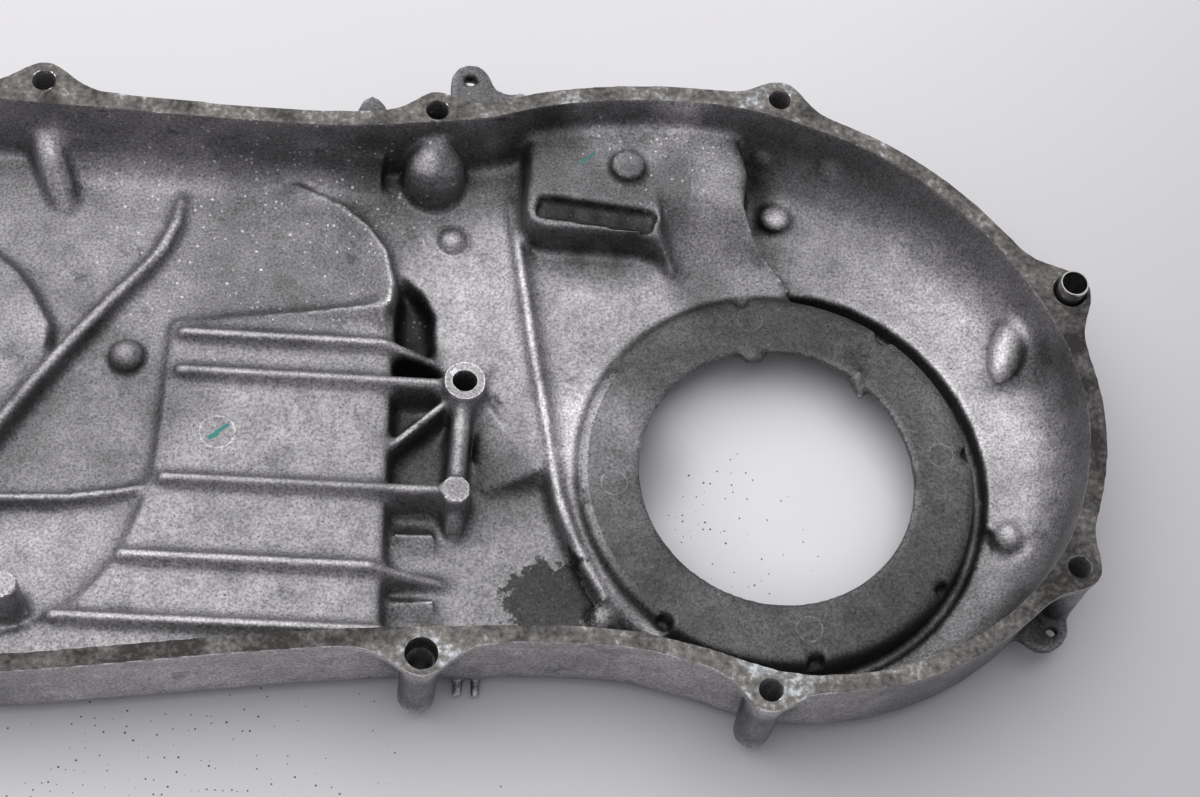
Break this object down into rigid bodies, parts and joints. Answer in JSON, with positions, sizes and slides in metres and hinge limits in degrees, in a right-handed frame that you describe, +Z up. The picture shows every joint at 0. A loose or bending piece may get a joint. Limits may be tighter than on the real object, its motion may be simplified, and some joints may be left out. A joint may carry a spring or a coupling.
{
  "type": "scooter engine side cover",
  "caption": "Cast aluminium side cover of a scooter belt drive: a deep ribbed tray with a bolted gasket flange, a round clutch opening and a volute round it.",
  "frame": {"origin": "middle of the whole part's bounding box, on the surface that the cover lies on", "axes": "+X along the length from the pulley end to the clutch opening, +Y across the cover, +Z up out of the open side"},
  "size_m": [0.41, 0.1954, 0.0426],
  "materials": {
    "cast_aluminium": "as-cast, blasted grey, dulled by use",
    "dowel_steel": "bright ground steel"
  },
  "bodies": {
    "root": {"cover_casting": "cast_aluminium", "locating_dowel": "dowel_steel"}
  },
  "joints": []
}
